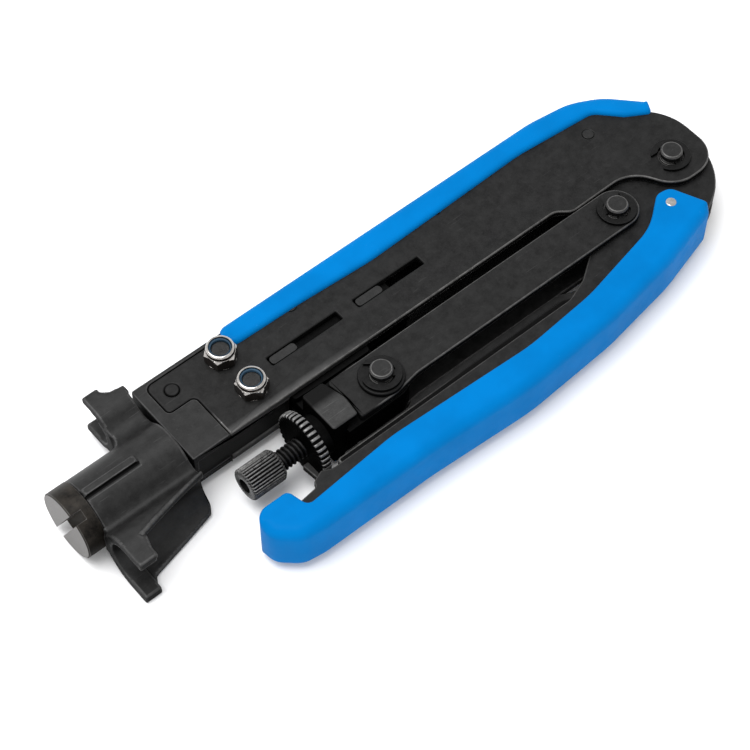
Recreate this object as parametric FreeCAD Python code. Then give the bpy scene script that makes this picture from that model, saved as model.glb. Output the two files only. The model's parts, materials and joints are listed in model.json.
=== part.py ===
import FreeCAD, Part
import math
import os

from FreeCAD import Vector as V

# Compression crimping tool for coaxial connectors, closed, lying flat.
# Origin: on the main pivot's axis, at the face the tool rests on.  +X runs
# toward the pivot end, -X toward the swivel head, +Y toward the fixed grip,
# +Z up.  The shapes are built about the tool's mid-plane and lifted by FOOT
# when they are written.  All lengths in millimetres.

os.makedirs("parts", exist_ok=True)

# ---------------------------------------------------------------- main sizes
PLATE_IN = 4.25        # inner face of the frame and link plates, from mid-plane
PLATE_OUT = 6.25       # outer face of the same plates
INNER_OUT = 3.95       # outer face of the handle and slider plates
INNER_IN = 1.95        # inner face of the same plates
FOOT = 9.6             # rivet heads, bolt heads and disc all reach this far down
PIN_TOP = 9.25         # upper end of the pins
PIN_R = 3.1            # pivot and link pins
PIN_HEAD_R = 4.6
FIT = 0.06             # radial running clearance
SNUG = 0.02            # radial clearance of a fixed pin

P1 = (0.0, 0.0)        # main pivot, handle on frame
P2 = (-24.4, -4.1)     # rear link pin, link on handle
P3 = (-108.2, -5.0)    # front link pin, link on plunger

PLUNGER_Y = -5.0       # axis of plunger, wheel and stud
SWIVEL_Y = 14.15       # axis of the swivel head
CRADLE_OFF = 19.15     # each cradle's distance from the swivel axis

BOLTS = ((-135.9, 26.2), (-135.6, 13.6))
BOLT_R = 2.5
NUT_AF = 8.0           # across flats

SLOTS = ((-127.2, -103.9), (-98.4, -75.9))   # guide slots, from and to in x
SLOT_Y = 17.2
SLOT_W = 3.0
TAB_LEN = 8.3
TAB_W = 2.5


# ------------------------------------------------------------------- helpers
def rounded_face(corners, z=0.0):
    """Face from (x, y, corner radius) given in order round the outline."""
    pts = [V(c[0], c[1], z) for c in corners]
    n = len(pts)
    starts, ends, mids = [], [], []
    for i in range(n):
        p, a, b, r = pts[i], pts[i - 1], pts[(i + 1) % n], corners[i][2]
        if r == 0:
            starts.append(p)
            ends.append(p)
            mids.append(None)
            continue
        u = (a - p).normalize()
        w = (b - p).normalize()
        half = u.getAngle(w) / 2.0
        t = r / math.tan(half)
        mid_dir = (u + w).normalize()
        centre = p + mid_dir * (r / math.sin(half))
        starts.append(p + u * t)
        ends.append(p + w * t)
        mids.append(centre - mid_dir * r)
    edges = []
    for i in range(n):
        if mids[i] is not None:
            edges.append(Part.Arc(starts[i], mids[i], ends[i]).toShape())
        a, b = ends[i], starts[(i + 1) % n]
        run = b - a
        if run.Length > 1e-6:
            if run.dot(pts[(i + 1) % n] - pts[i]) < 0:
                raise ValueError("corner radii too large near %s" % (corners[i],))
            edges.append(Part.LineSegment(a, b).toShape())
    return Part.Face(Part.Wire(edges))


def slab(corners, z0, z1):
    return rounded_face(corners, z0).extrude(V(0, 0, z1 - z0))


def cyl_z(centre, r, z0, z1):
    return Part.makeCylinder(r, z1 - z0, V(centre[0], centre[1], z0))


def cyl_x(x0, x1, r, y, z=0.0):
    return Part.makeCylinder(r, x1 - x0, V(x0, y, z), V(1, 0, 0))


def box(x0, x1, y0, y1, z0, z1):
    return Part.makeBox(x1 - x0, y1 - y0, z1 - z0, V(x0, y0, z0))


def mirrored(shape):
    """The same shape on the other side of the mid-plane."""
    return shape.mirror(V(0, 0, 0), V(0, 0, 1))


def hexagon_z(centre, across, z0, z1, turn=0.0):
    r = across / math.sqrt(3.0)
    pts = []
    for k in range(7):
        a = math.radians(turn + 60.0 * k)
        pts.append(V(centre[0] + r * math.cos(a), centre[1] + r * math.sin(a), z0))
    return Part.Face(Part.makePolygon(pts)).extrude(V(0, 0, z1 - z0))


def chamfered_hex(centre, across, z0, z1, turn, top, bottom):
    """Hexagon prism with its corners turned off at one or both ends."""
    prism = hexagon_z(centre, across, z0, z1, turn)
    r = across / math.sqrt(3.0)
    drop = 0.6
    body = cyl_z(centre, r + 0.01, z0, z1)
    if top:
        cone = Part.makeCone(r + 0.01, r - drop * 1.2, drop, V(centre[0], centre[1], z1 - drop))
        body = cyl_z(centre, r + 0.01, z0, z1 - drop).fuse(cone)
    if bottom:
        cone = Part.makeCone(r - drop * 1.2, r + 0.01, drop, V(centre[0], centre[1], z0))
        cut = cyl_z(centre, r + 2, z0, z0 + drop).cut(cone)
        body = body.cut(cut)
    return prism.common(body)


def write(name, shape):
    """One STEP file for one node, holding only its solids."""
    solids = shape.Solids
    out = solids[0] if len(solids) == 1 else Part.makeCompound(solids)
    out.translate(V(0, 0, FOOT))
    out.exportStep("parts/" + name + ".step")


# -------------------------------------------------------------- frame plates
FRAME_OUTLINE = (
    (-156.6, 31.2, 2.0), (-156.6, 21.1, 1.2), (-148.3, 21.1, 1.7), (-148.3, 6.1, 0.4),
    (-37.6, 6.2, 4.0), (-33.8, 3.1, 4.0), (-12.5, 3.4, 10.2), (-5.6, -8.9, 9.6),
    (11.15, -8.8, 8.8), (11.15, 10.9, 16.0), (3.4, 19.7, 6.0), (-7.0, 27.6, 12.0),
    (-24.0, 31.2, 14.0),
)

frame_blank = slab(FRAME_OUTLINE, PLATE_IN, PLATE_OUT)
for x0, x1 in SLOTS:
    half = SLOT_W / 2.0
    slot = ((x0, SLOT_Y - half, 0.5), (x1, SLOT_Y - half, 0.3),
            (x1, SLOT_Y + half, 0.3), (x0, SLOT_Y + half, 0.5))
    frame_blank = frame_blank.cut(slab(slot, PLATE_IN - 1, PLATE_OUT + 1))

DOWEL = (-151.7, 26.3)
DOWEL_R = 2.0
SPINE_RIVETS = ((-11.9, 20.5), (-62.0, 27.6), (-112.0, 27.6))
SPINE_RIVET_R = 1.6

frame_holes = cyl_z(P1, PIN_R + SNUG, -12, 12)
frame_holes = frame_holes.fuse(cyl_z(DOWEL, DOWEL_R + SNUG, -12, 12))
for c in BOLTS:
    frame_holes = frame_holes.fuse(cyl_z(c, BOLT_R + SNUG, -12, 12))
for c in SPINE_RIVETS:
    frame_holes = frame_holes.fuse(cyl_z(c, SPINE_RIVET_R + SNUG, -12, 12))

frame_top = frame_blank.cut(frame_holes)
frame_top = frame_top.removeSplitter()
write("frame_top_plate", frame_top)
write("frame_bottom_plate", mirrored(frame_blank).cut(frame_holes).removeSplitter())

# ---------------------------------------------------------------- head block
BLOCK_X0 = -160.2
BLOCK_X1 = -129.3
BLOCK_Y0 = 6.1
BLOCK_Y1 = 32.6
SHANK_R = 4.0
SHANK_END = -142.0

block = slab(((BLOCK_X0, BLOCK_Y0, 0.4), (BLOCK_X1, BLOCK_Y0, 0.4),
              (BLOCK_X1, BLOCK_Y1, 0.4), (BLOCK_X0, BLOCK_Y1, 0.8)), -PLATE_OUT, PLATE_OUT)
plate_room = rounded_face(FRAME_OUTLINE, PLATE_IN).makeOffset2D(0.25).extrude(V(0, 0, 5))
block = block.cut(plate_room).cut(mirrored(plate_room))
block = block.cut(frame_holes)
block = block.cut(cyl_x(BLOCK_X0 - 1, SHANK_END + 1, SHANK_R + SNUG, SWIVEL_Y))
# a shallow relief along the open side of the block
block = block.cut(box(BLOCK_X0 + 1.5, BLOCK_X1 + 1, BLOCK_Y0 - 1, BLOCK_Y0 + 0.5, -4.6, 3.6))
write("head_block", block)

# ------------------------------------------------------- spine, dowel, rivets
# The spine is the bar that spaces the two plates along the fixed grip.
SPINE_OUTLINE = (
    (-129.0, 25.4, 0.5), (-28.0, 25.2, 8.0), (-16.0, 21.5, 5.0), (-14.0, 17.5, 3.0),
    (-9.0, 17.5, 3.0), (-7.0, 24.0, 5.0), (-12.0, 27.5, 5.0), (-26.0, 30.6, 8.0),
    (-129.0, 30.6, 0.5),
)
spine = slab(SPINE_OUTLINE, -PLATE_IN, PLATE_IN).cut(frame_holes)
write("frame_spine", spine)

write("locating_dowel", cyl_z(DOWEL, DOWEL_R, -PLATE_OUT - 0.15, PLATE_OUT + 0.15))

rivets = []
for c in SPINE_RIVETS:
    rivets.append(cyl_z(c, SPINE_RIVET_R, -PLATE_OUT - 0.03, PLATE_OUT + 0.03))
write("spine_rivets", Part.makeCompound(rivets))

# --------------------------------------------------------------- fixed grip
GRIP_HALF = 7.75       # half thickness of the fixed grip
GRIP_OUTLINE = (
    (-133.4, 33.8, 3.0), (-131.0, 26.8, 2.2), (-110.0, 26.5, 30.0), (-86.0, 25.3, 60.0),
    (-32.0, 27.1, 60.0), (-6.2, 25.1, 5.0), (0.1, 18.4, 4.0), (6.8, 14.4, 1.2),
    (9.0, 18.6, 1.6), (0.2, 27.9, 20.0), (-8.5, 32.4, 20.0), (-22.0, 34.1, 40.0),
)
grip_blank = slab(GRIP_OUTLINE, -GRIP_HALF, GRIP_HALF)
long_edges = [e for e in grip_blank.Edges
              if abs(e.BoundBox.ZMax - e.BoundBox.ZMin) < 1e-6
              and (e.CenterOfMass.y > 27.8 - 0.35 * max(0, e.CenterOfMass.x + 10)
                   or e.CenterOfMass.x > 1.5 and e.CenterOfMass.y > 17.6)]
grip_blank = grip_blank.makeFillet(2.4, long_edges)
frame_pocket = rounded_face(FRAME_OUTLINE, -PLATE_OUT - 0.05).makeOffset2D(0.05)
frame_pocket = frame_pocket.extrude(V(0, 0, 2 * PLATE_OUT + 0.1))
block_pocket = box(BLOCK_X0 - 1, BLOCK_X1 + 0.1, BLOCK_Y0, BLOCK_Y1 + 0.05,
                   -PLATE_OUT - 0.05, PLATE_OUT + 0.05)
frame_grip = grip_blank.cut(frame_pocket).cut(block_pocket)
frame_grip = frame_grip.cut(cyl_z(BOLTS[0], 4.9, -12, 12))
write("frame_grip", frame_grip)

# --------------------------------------------------- clamp bolts and lock nuts
NUT_H = 5.0
NUT_TURN = (42.0, 30.0)
bolts, nuts, rings = [], [], []
for c, turn in zip(BOLTS, NUT_TURN):
    head = chamfered_hex(c, NUT_AF, -FOOT, -PLATE_OUT, turn, False, True)
    bolts.append(head.fuse(cyl_z(c, BOLT_R, -PLATE_OUT, PLATE_OUT + 3.9)))
    hexa = chamfered_hex(c, NUT_AF, PLATE_OUT, PLATE_OUT + 3.6, turn, True, True)
    collar_r = NUT_AF / 2.0 - 0.15
    collar = cyl_z(c, collar_r, PLATE_OUT + 3.0, PLATE_OUT + NUT_H)
    collar = collar.makeFillet(0.7, [e for e in collar.Edges
                                     if e.BoundBox.ZMin > PLATE_OUT + NUT_H - 0.1])
    nut = hexa.fuse(collar).cut(cyl_z(c, BOLT_R + SNUG, 0, 20))
    nut = nut.cut(cyl_z(c, 3.1, PLATE_OUT + 3.2, 20))
    nuts.append(nut)
    ring = cyl_z(c, 3.08, PLATE_OUT + 3.22, PLATE_OUT + 4.7)
    ring = ring.cut(cyl_z(c, BOLT_R + SNUG, 0, 20))
    rings.append(ring)
write("clamp_bolts", Part.makeCompound(bolts))
write("nyloc_nuts", Part.makeCompound(nuts))
write("nyloc_rings", Part.makeCompound(rings))

# ------------------------------------------------------------- pins and clips
CLIP_Z0 = PLATE_OUT + 0.15
CLIP_T = 0.9
CLIP_R = 5.5
NECK_R = 2.5


def headed_pin(centre, top_z=PIN_TOP, clip_z=CLIP_Z0):
    """Rivet-headed pin with a groove for a retaining clip near its top."""
    head = cyl_z(centre, PIN_HEAD_R, -FOOT, -PLATE_OUT - 0.05)
    low = [e for e in head.Edges if e.BoundBox.ZMax < -FOOT + 0.01]
    head = head.makeFillet(0.8, low)
    pin = head.fuse(cyl_z(centre, PIN_R, -PLATE_OUT - 0.05, top_z))
    top = [e for e in pin.Edges if e.BoundBox.ZMin > top_z - 0.01]
    pin = pin.makeChamfer(0.4, top)
    groove = cyl_z(centre, PIN_R + 1, clip_z, clip_z + CLIP_T)
    groove = groove.cut(cyl_z(centre, NECK_R, clip_z, clip_z + CLIP_T))
    return pin.cut(groove)


def e_clip(centre, opening, clip_z=CLIP_Z0):
    """E-shaped retaining clip: ring open toward `opening` degrees, three grips."""
    z0, z1 = clip_z + 0.02, clip_z + CLIP_T - 0.02
    ring = cyl_z(centre, CLIP_R, z0, z1).cut(cyl_z(centre, 3.7, z0 - 1, z1 + 1))
    grips = []
    for a in (90.0, 180.0, 270.0):
        lug = box(centre[0] + NECK_R - 1.0, centre[0] + 4.2, centre[1] - 0.9, centre[1] + 0.9, z0, z1)
        lug.rotate(V(centre[0], centre[1], 0), V(0, 0, 1), a)
        grips.append(lug)
    mouth = box(centre[0], centre[0] + 8, centre[1] - 2.6, centre[1] + 2.6, z0 - 1, z1 + 1)
    clip = ring.cut(mouth)
    for lug in grips:
        clip = clip.fuse(lug)
    clip = clip.cut(cyl_z(centre, NECK_R + SNUG, z0 - 1, z1 + 1))
    clip.rotate(V(centre[0], centre[1], 0), V(0, 0, 1), opening)
    return clip


write("main_pivot_pin", headed_pin(P1))
write("main_pivot_clip", e_clip(P1, 175.0))
write("link_rear_pin", headed_pin(P2))
write("link_rear_clip", e_clip(P2, 70.0))

# the front link pin stands taller, with a thick washer under its clip
WASHER_R = 6.2
WASHER_TOP = PLATE_OUT + 1.35
FRONT_CLIP_Z = WASHER_TOP + 0.05
write("link_front_pin", headed_pin(P3, 10.6, FRONT_CLIP_Z))
washer = cyl_z(P3, WASHER_R, PLATE_OUT + 0.03, WASHER_TOP)
washer = washer.makeChamfer(0.3, [e for e in washer.Edges if e.BoundBox.ZMin > WASHER_TOP - 0.01])
washer = washer.cut(cyl_z(P3, PIN_R + SNUG, PLATE_OUT - 1, WASHER_TOP + 1))
write("link_front_clip", Part.makeCompound([e_clip(P3, 140.0, FRONT_CLIP_Z), washer]))

# ------------------------------------------------------------------ link bars
LINK_OUTLINE = (
    (-120.2, 2.8, 1.2), (-17.6, 2.8, 6.3), (-17.6, -9.9, 6.3), (-100.0, -9.8, 6.0),
    (-108.0, -11.2, 6.0), (-119.8, -11.2, 0.8), (-119.0, -4.6, 8.0),
)
link_holes = cyl_z(P2, PIN_R + SNUG, -12, 12).fuse(cyl_z(P3, PIN_R + SNUG, -12, 12))
link_top = slab(LINK_OUTLINE, PLATE_IN, PLATE_OUT).cut(link_holes)
write("link_top", link_top)
write("link_bottom", mirrored(slab(LINK_OUTLINE, PLATE_IN, PLATE_OUT)).cut(link_holes))

# --------------------------------------------------------------------- handle
HANDLE_OUTLINE = (
    (-134.2, -16.9, 0.5), (-136.9, -15.6, 1.0), (-140.2, -17.0, 1.4), (-141.0, -18.6, 1.0),
    (-147.5, -19.4, 1.0), (-153.5, -21.5, 2.5), (-154.5, -26.5, 3.0), (-146.0, -28.0, 6.0),
    (-90.0, -28.6, 40.0), (-50.0, -25.5, 30.0), (-9.0, -21.0, 5.0), (6.4, -14.2, 22.0),
    (11.5, -0.9, 8.0), (7.0, 10.2, 7.5), (-7.0, 10.2, 6.0),
    (-16.0, 5.6, 8.0), (-31.0, 5.0, 7.0), (-35.5, -7.0, 8.0), (-46.0, -14.2, 5.0),
    (-53.0, -16.8, 6.0),
)
GRIP_RIVET = (-12.2, -12.4)
GRIP_RIVET_R = 1.5
SCREWED = ((-130.0, -25.4), (-70.0, -24.2), GRIP_RIVET)

handle_holes = cyl_z(P1, PIN_R + FIT, -12, 12).fuse(cyl_z(P2, PIN_R + FIT, -12, 12))
for c in SCREWED:
    handle_holes = handle_holes.fuse(cyl_z(c, GRIP_RIVET_R + SNUG, -12, 12))
handle_top = slab(HANDLE_OUTLINE, INNER_IN, INNER_OUT)
write("handle_top_plate", handle_top.cut(handle_holes))

# the lower plate carries a short lug that stands in front of the lock wheel
LUG_OUTLINE = ((-137.4, -8.6, 0.4), (-135.5, -8.6, 0.4), (-135.5, -18.0, 0.0), (-136.4, -18.0, 0.0))
handle_lug = slab(LUG_OUTLINE, -INNER_OUT, -INNER_IN)
# and a shelf along its inner side that closes the tool from below
SHELF_OUTLINE = (
    (-131.0, -18.5, 0.5), (-131.0, -14.2, 1.0), (-127.6, -14.0, 0.3), (-126.6, -12.4, 0.5),
    (-105.5, -12.4, 1.0), (-102.5, -10.8, 1.0), (-52.0, -10.6, 3.0), (-44.0, -13.6, 0.0),
    (-50.0, -18.5, 0.0),
)
handle_shelf = slab(SHELF_OUTLINE, -INNER_OUT, -INNER_IN)
handle_bottom = mirrored(handle_top).fuse(handle_lug).fuse(handle_shelf).removeSplitter()
write("handle_bottom_plate", handle_bottom.cut(handle_holes))

WEB_OUTLINE = (
    (-147.0, -22.9, 1.0), (-100.0, -23.0, 0.0), (-60.0, -21.6, 10.0), (-30.0, -18.2, 8.0),
    (-18.0, -13.4, 4.0), (-13.5, -9.6, 2.5), (-8.8, -11.0, 2.0), (-7.5, -19.5, 2.5),
    (-50.0, -25.5, 30.0), (-90.0, -28.4, 40.0), (-146.0, -27.8, 2.0),
)
WEB_STEP = (
    (-131.0, -24.0, 0.0), (-131.0, -14.6, 1.0), (-54.0, -14.4, 3.0), (-46.0, -17.4, 0.0),
    (-52.0, -22.5, 0.0), (-100.0, -24.0, 0.0),
)
web = slab(WEB_OUTLINE, -INNER_IN, INNER_IN).fuse(slab(WEB_STEP, -INNER_IN, INNER_IN))
web = web.removeSplitter().cut(handle_holes)
write("handle_web", web)

# moulded grip on the handle, with the hooked finger stop at its front end
HGRIP_HALF = 8.0
HGRIP_OUTLINE = (
    (-148.3, -16.7, 1.8), (-146.8, -23.1, 2.0), (-118.0, -20.8, 50.0), (-73.0, -22.7, 60.0),
    (-50.0, -20.7, 50.0), (-22.5, -14.9, 22.0), (-13.0, -7.7, 3.4), (-8.8, -8.4, 3.2),
    (-3.5, -20.2, 2.6), (-25.0, -26.2, 50.0), (-50.0, -30.2, 60.0), (-80.0, -32.2, 80.0),
    (-112.0, -30.5, 60.0), (-147.0, -30.3, 12.0), (-153.6, -29.4, 7.0), (-159.4, -24.0, 5.5),
    (-159.2, -16.7, 4.2),
)
hgrip = slab(HGRIP_OUTLINE, -HGRIP_HALF, HGRIP_HALF)
outer_edges = [e for e in hgrip.Edges
               if abs(e.BoundBox.ZMax - e.BoundBox.ZMin) < 1e-6
               and e.CenterOfMass.y < -22.9 and e.BoundBox.YMax < -20.0
               and not (e.BoundBox.XMin > -147.5 and e.BoundBox.XMax < -143.0)]
hgrip = hgrip.makeFillet(3.2, outer_edges)
handle_room = rounded_face(HANDLE_OUTLINE, -INNER_OUT - 0.05).makeOffset2D(0.05)
handle_room = handle_room.extrude(V(0, 0, 2 * INNER_OUT + 0.1))
hgrip = hgrip.cut(handle_room)
rivet_bore = cyl_z(GRIP_RIVET, GRIP_RIVET_R + SNUG, -12, 12)
write("handle_grip", hgrip.cut(rivet_bore))

write("grip_rivet", cyl_z(GRIP_RIVET, GRIP_RIVET_R, -HGRIP_HALF - 0.1, HGRIP_HALF + 0.15))
hidden = []
for c in SCREWED[:2]:
    hidden.append(cyl_z(c, GRIP_RIVET_R, -INNER_OUT, INNER_OUT))
write("handle_rivets", Part.makeCompound(hidden))

# -------------------------------------------------------- slider and plunger
SLIDER_OUTLINE = (
    (-128.6, 5.0, 1.0), (-117.0, 4.6, 0.0), (-104.0, 4.6, 1.0), (-103.0, 8.4, 1.5),
    (-87.0, 8.4, 2.0), (-87.0, 24.4, 2.0), (-128.6, 24.4, 2.0),
)
SLIDER_RIVETS = ((-123.5, 21.6), (-92.0, 21.6), (-123.5, 10.5), (-106.0, 10.5))
slider_plate = slab(SLIDER_OUTLINE, INNER_IN, INNER_OUT)
for x0, x1 in SLOTS:
    a = x0 + 0.3
    low, high = SLOT_Y - TAB_W / 2.0 - 0.15, SLOT_Y + TAB_W / 2.0 - 0.15
    tab = ((a, low, 1.0), (a + TAB_LEN, low, 1.0), (a + TAB_LEN, high, 1.0), (a, high, 1.0))
    slider_plate = slider_plate.fuse(slab(tab, INNER_IN, PLATE_OUT - 0.1))
slider_plate = slider_plate.removeSplitter()
slider_holes = cyl_z(SLIDER_RIVETS[0], 1.5 + SNUG, -12, 12)
for c in SLIDER_RIVETS[1:]:
    slider_holes = slider_holes.fuse(cyl_z(c, 1.5 + SNUG, -12, 12))
write("slider_top_plate", slider_plate.cut(slider_holes))
write("slider_bottom_plate", mirrored(slider_plate).cut(slider_holes))
slider_rivets = [cyl_z(c, 1.5, -INNER_OUT, INNER_OUT) for c in SLIDER_RIVETS]
write("slider_rivets", Part.makeCompound(slider_rivets))

BLOCK_FRONT = -128.3   # the plunger's square front block
BLOCK_REAR = -120.3
BLOCK_TOP = 8.0
NOSE_R = 7.6           # rounded rear end about the front link pin
STUD_R = 2.95
STUD_ROOM = STUD_R + 0.07

front_block = slab(((BLOCK_FRONT, 2.7, 0.8), (BLOCK_FRONT, -10.4, 0.8),
                    (BLOCK_REAR - 0.1, -10.4, 0.8), (BLOCK_REAR + 0.6, -4.4, 8.0),
                    (BLOCK_REAR - 1.2, 2.7, 0.8)), -BLOCK_TOP, BLOCK_TOP)
front_block = front_block.makeChamfer(0.35, [e for e in front_block.Edges
                                            if abs(e.BoundBox.ZMax - e.BoundBox.ZMin) < 1e-6])
# pockets in the rear face that take the front ends of the link plates
pocket = box(BLOCK_REAR - 3.3, 0, -20, 10, PLATE_IN - 0.2, PLATE_OUT + 0.2)
front_block = front_block.cut(pocket).cut(mirrored(pocket))
tail = slab(((BLOCK_REAR - 3.8, -11.5, 0.0), (P3[0] + NOSE_R, -11.3, 6.5),
             (P3[0] + NOSE_R, 2.4, 6.0), (P3[0] - 2, 4.3, 0.0), (BLOCK_REAR - 3.8, 3.6, 0.0)),
            -INNER_OUT, INNER_OUT)
inner_web = slab(((-128.2, 4.0, 0.0), (-103.0, 4.0, 0.0), (-103.0, 8.6, 0.0), (-87.0, 8.6, 0.0),
                  (-87.0, 24.2, 0.0), (-128.2, 24.2, 0.0)), -INNER_IN, INNER_IN)
neck = box(-128.2, -104.0, -2.0, 4.55, -INNER_IN, INNER_IN)
plunger = front_block.fuse(tail).fuse(neck).fuse(inner_web).removeSplitter()
# room for the guide plates beside the front block
guide_room = box(-128.9, -103.5, 4.3, 26.0, INNER_IN, 12.0)
plunger = plunger.cut(guide_room).cut(mirrored(guide_room))
plunger = plunger.cut(slider_holes)
# bore for the adjusting stud
plunger = plunger.cut(cyl_x(BLOCK_FRONT - 1, -113.0, STUD_ROOM, PLUNGER_Y))
# oblong clearance hole round the front link pin
PIN_ROOM = PIN_R + 0.1
oblong = slab(((P3[0] - 2.6 - PIN_ROOM, P3[1] - 1.5 - PIN_ROOM, 3.0),
               (P3[0] + PIN_ROOM, P3[1] - 1.5 - PIN_ROOM, 3.0),
               (P3[0] + PIN_ROOM, P3[1] + PIN_ROOM, 3.0),
               (P3[0] - 2.6 - PIN_ROOM, P3[1] + PIN_ROOM, 3.0)), -12, 12)
plunger = plunger.cut(oblong)
write("plunger_body", plunger)

# ------------------------------------------------------ lock wheel, stud, tip
WHEEL_X0 = -135.0
WHEEL_X1 = -132.0
WHEEL_R = 9.5
WHEEL_TEETH = 36
TOOTH_DEPTH = 0.55

wheel = cyl_x(WHEEL_X0, WHEEL_X1, WHEEL_R, PLUNGER_Y)
rim = [e for e in wheel.Edges if abs(e.BoundBox.XMax - e.BoundBox.XMin) < 1e-6]
wheel = wheel.makeChamfer(0.35, rim)
wheel = wheel.fuse(cyl_x(WHEEL_X1, BLOCK_FRONT - 0.15, 6.0, PLUNGER_Y))
grooves = []
for k in range(WHEEL_TEETH):
    groove = box(WHEEL_X0 - 1, WHEEL_X1 + 0.0, PLUNGER_Y - 0.32, PLUNGER_Y + 0.32,
                 WHEEL_R - TOOTH_DEPTH, WHEEL_R + 1)
    groove.rotate(V(0, PLUNGER_Y, 0), V(1, 0, 0), 360.0 * k / WHEEL_TEETH)
    grooves.append(groove)
wheel = wheel.cut(Part.makeCompound(grooves))
wheel = wheel.cut(cyl_x(WHEEL_X0 - 1, BLOCK_FRONT + 1, STUD_R + 0.07, PLUNGER_Y))
write("lock_wheel", wheel)

TIP_X0 = -153.0
TIP_X1 = -142.4
TIP_R = 4.6
TIP_BORE_R = 1.9
TIP_BORE_L = 7.0
TIP_FLUTES = 30

stud = cyl_x(TIP_X1, -117.5, STUD_R, PLUNGER_Y)
write("adjusting_stud", stud)

tip = cyl_x(TIP_X0, TIP_X1, TIP_R, PLUNGER_Y)
rear = [e for e in tip.Edges if e.BoundBox.XMin > TIP_X1 - 0.01]
front = [e for e in tip.Edges if e.BoundBox.XMax < TIP_X0 + 0.01]
tip = tip.makeChamfer(0.8, rear)
front = [e for e in tip.Edges if e.BoundBox.XMax < TIP_X0 + 0.01]
tip = tip.makeChamfer(0.25, front)
flutes = []
for k in range(TIP_FLUTES):
    flute = box(TIP_X0 - 1, TIP_X1 - 0.8, PLUNGER_Y - 0.2, PLUNGER_Y + 0.2, TIP_R - 0.3, TIP_R + 1)
    flute.rotate(V(0, PLUNGER_Y, 0), V(1, 0, 0), 360.0 * k / TIP_FLUTES)
    flutes.append(flute)
tip = tip.cut(Part.makeCompound(flutes))
tip = tip.cut(cyl_x(TIP_X0 - 1, TIP_X0 + TIP_BORE_L, TIP_BORE_R, PLUNGER_Y))
write("plunger_tip", tip)

# -------------------------------------------------- swivel head and its screw
HUB_R = 9.5
HEAD_X0 = -188.4       # front of the hub
HEAD_X1 = -160.5       # rear face, turning past the block
BIG_X0 = -189.4        # front of the large cradle
SMALL_X0 = -171.2      # front of the small cradle
BIG_Y = SWIVEL_Y - CRADLE_OFF
SMALL_Y = SWIVEL_Y + CRADLE_OFF
BIG_R = 9.4            # outside of the large cradle
SMALL_R = 7.3          # outside of the small cradle
BIG_SLOT_R = 6.7
BIG_TROUGH_R = 7.8
SMALL_SLOT_R = 4.9
SMALL_TROUGH_R = 5.8

hub = cyl_x(HEAD_X0, HEAD_X1, HUB_R, SWIVEL_Y)
rib = box(-188.0, -171.8, 11.8, 15.7, 5.0, HUB_R + 0.45)
rib = rib.makeFillet(0.5, [e for e in rib.Edges
                           if abs(e.BoundBox.ZMax - e.BoundBox.ZMin) > 4])

big = cyl_x(BIG_X0, HEAD_X1, BIG_R, BIG_Y)
big = big.fuse(box(BIG_X0, HEAD_X1, -11.2, BIG_Y, -BIG_R, BIG_R))
big_web = box(HEAD_X0, HEAD_X1, BIG_Y, SWIVEL_Y, -6.3, 6.3)
# the mouth of the large cradle: full depth at the front wall, then cut back
upper_mouth = slab(((-183.8, -14.0, 0.0), (-183.8, -9.6, 1.5), (-182.6, -4.8, 1.0),
                    (-160.0, 1.2, 0.0), (-155.0, 1.2, 0.0), (-155.0, -14.0, 0.0)), 0, 12)
lower_mouth = slab(((-184.2, -14.0, 0.0), (-184.2, -9.8, 1.0), (-182.9, -7.2, 1.0),
                    (-161.8, -2.0, 1.0), (-160.0, 0.6, 0.0), (-155.0, 0.6, 0.0),
                    (-155.0, -14.0, 0.0)), -12, 0)
big = big.fuse(big_web).cut(upper_mouth).cut(lower_mouth)

small = cyl_x(SMALL_X0, HEAD_X1, SMALL_R, SMALL_Y)
small = small.fuse(box(SMALL_X0, HEAD_X1, SMALL_Y, 38.0, -SMALL_R, SMALL_R))
small_web = box(SMALL_X0, HEAD_X1, SWIVEL_Y, SMALL_Y, -6.0, 6.0)
small_mouth = slab(((-166.4, 40.0, 0.0), (-166.4, 37.6, 0.8), (-164.6, 35.8, 1.0),
                    (-160.0, 35.0, 0.0), (-158.0, 35.0, 0.0), (-158.0, 40.0, 0.0)), -9, 9)
small = small.fuse(small_web).cut(small_mouth)

head = hub.fuse(rib).fuse(big).fuse(small).removeSplitter()


def channel(x0, x1, r, y, toward):
    """U-shaped room for a cable or connector, open toward -Y or +Y."""
    room = cyl_x(x0, x1, r, y)
    y0, y1 = sorted((y, y + toward * 20.0))
    return room.fuse(box(x0, x1, y0, y1, -r, r))


head = head.cut(channel(BIG_X0 - 1, -180.0, BIG_SLOT_R, BIG_Y, -1))
head = head.cut(channel(-184.2, HEAD_X1 + 1, BIG_TROUGH_R, BIG_Y, -1))
head = head.cut(channel(SMALL_X0 - 2, -165.0, SMALL_SLOT_R, SMALL_Y, 1))
head = head.cut(channel(-167.2, HEAD_X1 + 1, SMALL_TROUGH_R, SMALL_Y, 1))
# room for the screw's disc in front and its shank through the middle
head = head.cut(cyl_x(-195.0, HEAD_X0, 10.0, SWIVEL_Y))
head = head.cut(cyl_x(-195.0, -150.0, SHANK_R + FIT, SWIVEL_Y))
write("swivel_head", head)

DISC_X0 = -194.2
DISC_X1 = -188.5
DISC_R = 9.6
DRIVER_SLOT_W = 2.8
DRIVER_SLOT_D = 3.2
DRIVER_SLOT_TILT = 28.0

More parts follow.
